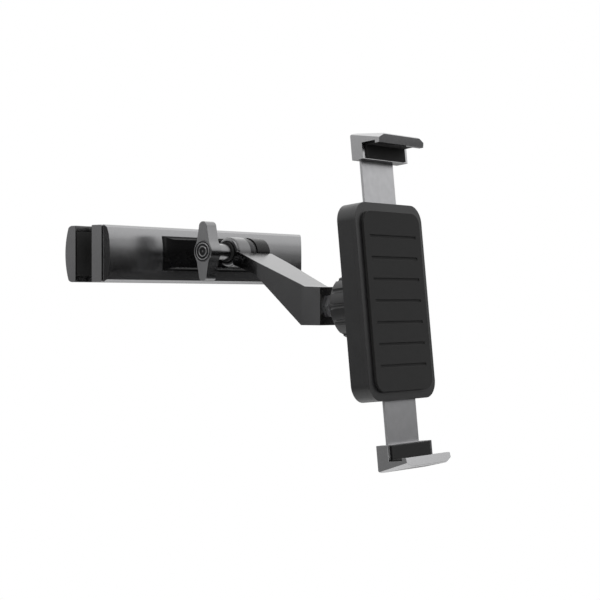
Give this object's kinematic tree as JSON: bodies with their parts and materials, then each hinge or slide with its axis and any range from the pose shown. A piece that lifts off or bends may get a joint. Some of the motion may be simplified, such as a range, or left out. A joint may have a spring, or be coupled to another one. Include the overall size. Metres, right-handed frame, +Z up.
{
  "type": "headrest tablet holder",
  "caption": "Bar with open slots for headrest posts, a knob-locked tilting arm, a ball joint and a cradle with two sprung gripping jaws.",
  "frame": {"origin": "middle of the bar, halfway between the two post slots and on the plane of the posts", "axes": "+X along the bar to the knob-free side, +Y from the passenger towards the seat in front, +Z up along the posts"},
  "size_m": [0.181, 0.204, 0.1869],
  "materials": {
    "bar_grey": "satin",
    "black_nylon": "fine matt grain",
    "jaw_grey": "satin",
    "rubber": "matt",
    "steel": "brushed",
    "brass": "turned",
    "gear_nylon": "natural moulded"
  },
  "bodies": {
    "bar": {"front_cover": "bar_grey", "rear_housing": "bar_grey", "bar_screws": "steel", "lock_nut": "brass", "hinge_base": "black_nylon", "base_screws": "steel", "hinge_bolt": "steel", "friction_disc": "black_nylon", "hinge_ring": "steel", "knob_washer": "rubber"},
    "left_jaw": {"left_post_jaw": "bar_grey", "left_post_liner": "rubber"},
    "right_jaw": {"right_post_jaw": "bar_grey", "right_post_liner": "rubber"},
    "bar_gear": {"bar_pinion": "gear_nylon"},
    "bar_lock": {"lock_knob": "black_nylon", "lock_screw": "steel"},
    "tilt_arm": {"arm": "bar_grey", "ball_stud": "steel"},
    "knob": {"wing_knob": "bar_grey", "knob_insert": "brass", "knob_cap": "bar_grey"},
    "seat": {"ball_seat": "gear_nylon"},
    "socket": {"ball_socket": "black_nylon", "pivot_washer": "steel", "pivot_screw": "steel"},
    "collar": {"collar_nut": "black_nylon"},
    "cradle": {"cradle_rear": "black_nylon", "cradle_front": "black_nylon", "grip_pad": "rubber", "cradle_screws": "steel", "left_spring": "steel", "right_spring": "steel"},
    "cradle_gear": {"cradle_pinion": "gear_nylon"},
    "upper_jaw": {"upper_rail": "steel", "upper_hook": "jaw_grey", "upper_hook_pad": "rubber", "upper_hook_screws": "steel"},
    "lower_jaw": {"lower_rail": "steel", "lower_hook": "jaw_grey", "lower_hook_pad": "rubber", "lower_hook_screws": "steel"}
  },
  "joints": [
    {"name": "left_jaw_slide", "type": "slide", "parent": "bar", "child": "left_jaw", "axis": [-1, 0, 0], "range_m": [0, 0.02]},
    {"name": "right_jaw_slide", "type": "slide", "parent": "bar", "child": "right_jaw", "axis": [1, 0, 0], "range_m": [0, 0.02]},
    {"name": "bar_gear_spin", "type": "hinge", "parent": "bar", "child": "bar_gear", "pos_m": [0, 0, 0], "axis": [0, 1, 0], "range_deg": [-170, 5]},
    {"name": "bar_lock_turn", "type": "hinge", "parent": "bar", "child": "bar_lock", "pos_m": [0, 0, 0], "axis": [0, 1, 0], "continuous": true},
    {"name": "arm_tilt", "type": "hinge", "parent": "bar", "child": "tilt_arm", "pos_m": [0, -0.0433, 0.0019], "axis": [-1, 0, 0], "range_deg": [-60, 90]},
    {"name": "knob_turn", "type": "hinge", "parent": "bar", "child": "knob", "pos_m": [0, -0.0433, 0.0019], "axis": [-1, 0, 0], "continuous": true},
    {"name": "ball_swing", "type": "hinge", "parent": "tilt_arm", "child": "seat", "pos_m": [0, -0.129, -0.0303], "axis": [0, 0, 1], "range_deg": [-20, 20]},
    {"name": "ball_tilt", "type": "hinge", "parent": "seat", "child": "socket", "pos_m": [0, -0.129, -0.0303], "axis": [1, 0, 0], "range_deg": [-14, 26]},
    {"name": "collar_turn", "type": "hinge", "parent": "socket", "child": "collar", "pos_m": [0, -0.129, -0.0303], "axis": [0, 0.9946, -0.1035], "continuous": true},
    {"name": "cradle_turn", "type": "hinge", "parent": "socket", "child": "cradle", "pos_m": [0, -0.129, -0.0303], "axis": [0, 0.9946, -0.1035], "continuous": true},
    {"name": "upper_jaw_slide", "type": "slide", "parent": "cradle", "child": "upper_jaw", "axis": [0, 0.1035, 0.9946], "range_m": [-0.022, 0.02], "deforming": ["left_spring"]},
    {"name": "lower_jaw_slide", "type": "slide", "parent": "cradle", "child": "lower_jaw", "axis": [0, -0.1035, -0.9946], "range_m": [-0.022, 0.02], "deforming": ["right_spring"]},
    {"name": "cradle_gear_spin", "type": "hinge", "parent": "cradle", "child": "cradle_gear", "pos_m": [0, -0.129, -0.0303], "axis": [0, 0.9946, -0.1035], "range_deg": [-185, 170]}
  ],
  "couplings": [
    {"joint": "right_jaw_slide", "follows": "left_jaw_slide", "ratio": 1},
    {"joint": "bar_gear_spin", "follows": "left_jaw_slide", "rad_per_m": -142.86},
    {"joint": "lower_jaw_slide", "follows": "upper_jaw_slide", "ratio": 1},
    {"joint": "cradle_gear_spin", "follows": "upper_jaw_slide", "rad_per_m": 142.86}
  ]
}
